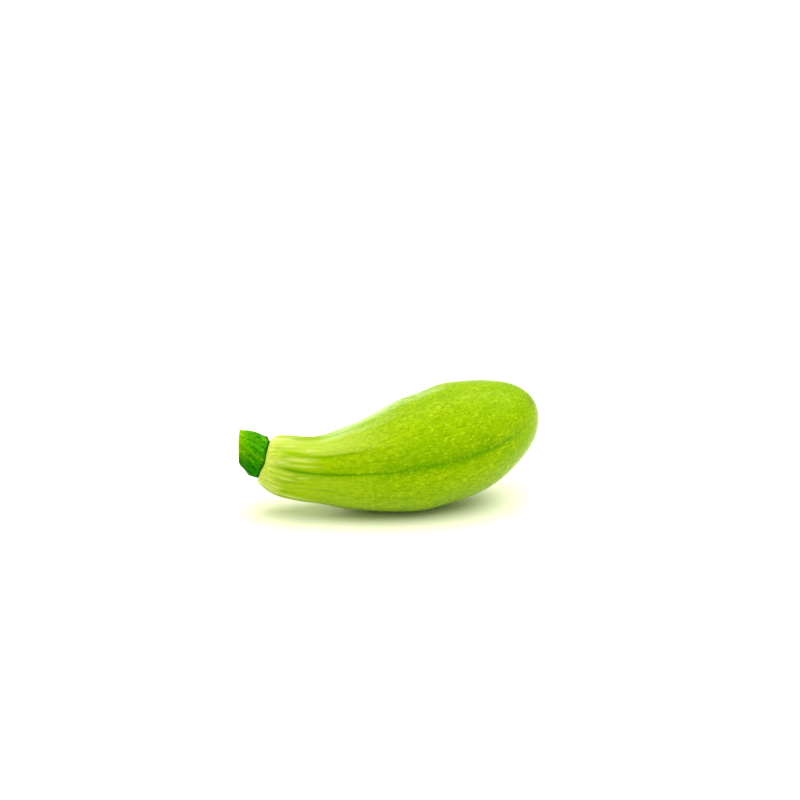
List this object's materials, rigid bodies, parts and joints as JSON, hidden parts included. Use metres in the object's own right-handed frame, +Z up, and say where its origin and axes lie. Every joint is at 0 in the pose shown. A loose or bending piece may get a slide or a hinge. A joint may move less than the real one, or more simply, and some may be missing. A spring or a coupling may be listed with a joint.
{
  "type": "courgette",
  "caption": "Pale green club-shaped courgette, gently bent, with shallow long furrows, a gathered neck and a short cut stem, lying on its side.",
  "frame": {"origin": "under the middle of the bounding box, on the surface that the courgette lies on", "axes": "+X from the stem to the blossom end, +Z up, +Y away from the side that shows a full furrow"},
  "size_m": [0.1504, 0.0568, 0.0614],
  "materials": {
    "skin": "waxy, semi-gloss, pale green with fine lighter flecks",
    "stem": "green, ridged, faintly shiny, with a paler fibrous cut"
  },
  "bodies": {
    "root": {"fruit": "skin", "stem": "stem"}
  },
  "joints": []
}
